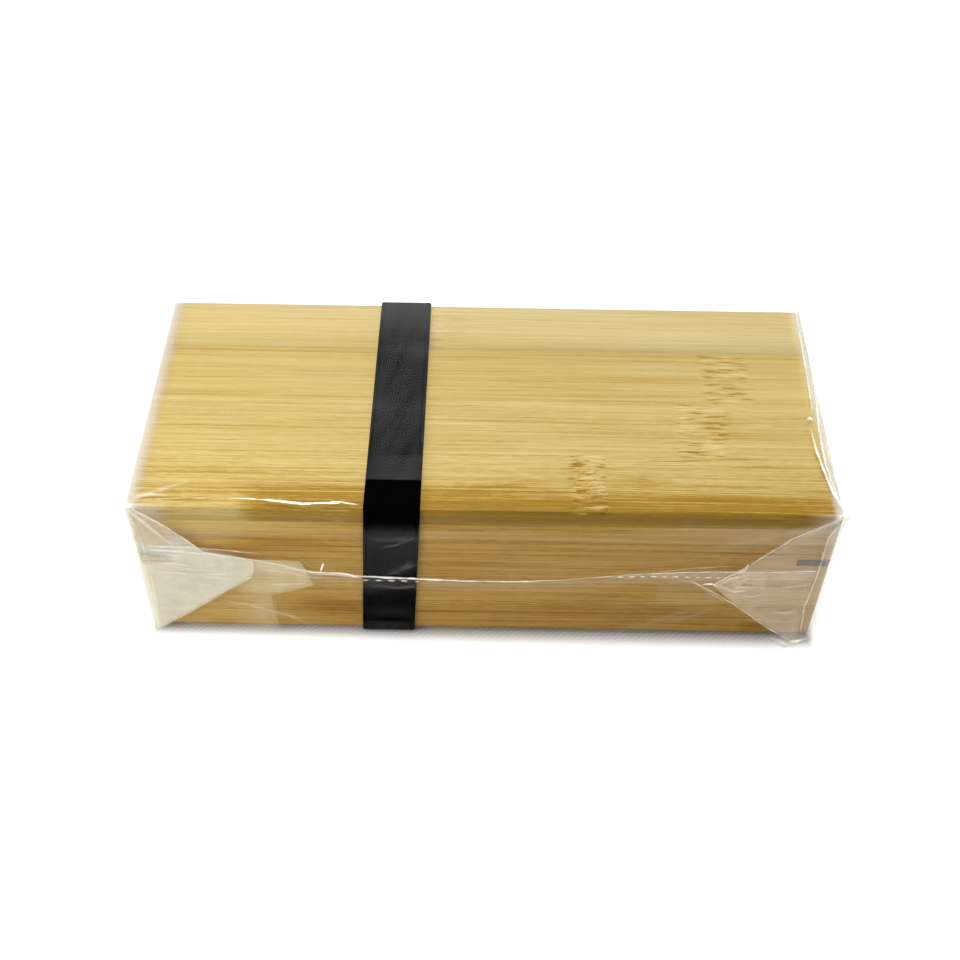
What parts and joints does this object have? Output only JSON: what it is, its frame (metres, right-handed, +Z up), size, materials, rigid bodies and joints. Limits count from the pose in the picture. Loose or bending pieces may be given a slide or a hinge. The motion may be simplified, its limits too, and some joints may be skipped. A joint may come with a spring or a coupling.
{
  "type": "bento lunch box",
  "caption": "Slim bamboo bento lunch box: mitred body with liner and divider, flush lid, elastic band round the middle and a clear film bag that lifts off.",
  "frame": {"origin": "middle of the resting plane, under the middle of the box", "axes": "+X along the box to the right, +Y from front to back, +Z up"},
  "size_m": [0.2034, 0.0909, 0.0579],
  "materials": {
    "bamboo": "clear-lacquered, fine straight grain",
    "key_wood": "dark stained, satin",
    "elastic": "woven elastic, matt",
    "thread": "spun thread",
    "film": "clear, glossy",
    "tape": "clear, slightly hazy"
  },
  "bodies": {
    "body": {"front_wall": "bamboo", "back_wall": "bamboo", "left_end_wall": "bamboo", "right_end_wall": "bamboo", "bottom_board": "bamboo", "key_front_left": "key_wood", "key_front_right": "key_wood", "key_back_left": "key_wood", "key_back_right": "key_wood", "liner_front": "bamboo", "liner_back": "bamboo", "liner_left": "bamboo", "liner_right": "bamboo"},
    "lid": {"lid_strip_back": "bamboo", "lid_strip_mid_back": "bamboo", "lid_strip_mid_front": "bamboo", "lid_strip_front": "bamboo", "lid_rail_front": "bamboo", "lid_rail_back": "bamboo", "lid_rail_left": "bamboo", "lid_rail_right": "bamboo"},
    "divider": {"divider": "bamboo"},
    "band": {"elastic_band": "elastic", "band_stitching": "thread"},
    "film": {"film_wrap": "film", "tape_left": "tape", "tape_right": "tape"}
  },
  "joints": [
    {"name": "lid_lift", "type": "slide", "parent": "body", "child": "lid", "axis": [0, 0, 1], "range_m": [0, 0.07], "deforming": ["elastic_band"]},
    {"name": "divider_slide", "type": "slide", "parent": "body", "child": "divider", "axis": [1, 0, 0], "range_m": [-0.1, 0.045]},
    {"name": "band_slide", "type": "slide", "parent": "body", "child": "band", "axis": [1, 0, 0], "range_m": [-0.055, 0.111]},
    {"name": "film_lift", "type": "slide", "parent": "lid", "child": "film", "axis": [0, 0, 1], "range_m": [0, 0.08]}
  ]
}
